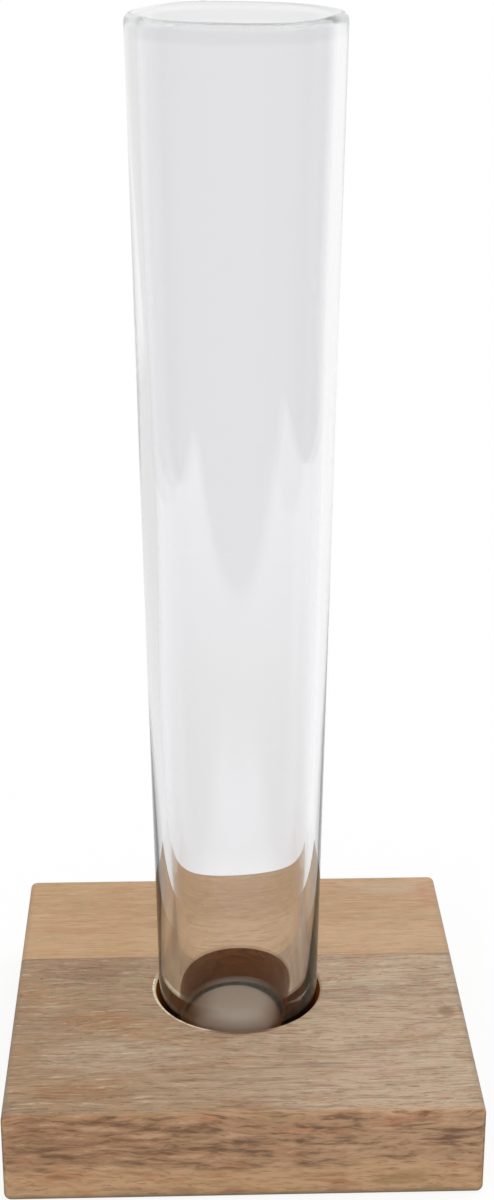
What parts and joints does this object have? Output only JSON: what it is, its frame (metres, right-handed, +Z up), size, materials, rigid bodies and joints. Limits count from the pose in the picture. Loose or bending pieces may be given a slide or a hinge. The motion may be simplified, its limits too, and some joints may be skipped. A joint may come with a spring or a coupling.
{
  "type": "propagation vase",
  "caption": "Tall clear tapered glass tube, open at the top, standing loose in a round seat in a square wooden block. It holds water and cut stems, and lifts out for filling.",
  "frame": {"origin": "centre of the wooden block's underside, on the surface that it stands on", "axes": "+Z up along the tube's axis, +X to the right along the wood grain, +Y to the rear, towards the narrower board"},
  "size_m": [0.1, 0.1, 0.2344],
  "materials": {
    "clear_glass": "clear, fire-polished, very slightly wavy hand-made glass with a faint grey-green edge",
    "front_board_wood": "greyish tan hardwood, sanded, with fine short dark flecks and streaks along the grain, almost matt",
    "rear_board_wood": "lighter warm tan hardwood, sanded, with a quiet straight grain, almost matt"
  },
  "bodies": {
    "base": {"base_front_stave": "front_board_wood", "base_rear_stave": "rear_board_wood"},
    "tube": {"glass_tube": "clear_glass"}
  },
  "joints": [
    {"name": "tube_lift", "type": "slide", "parent": "base", "child": "tube", "axis": [0, 0, 1], "range_m": [0, 0.06]}
  ]
}
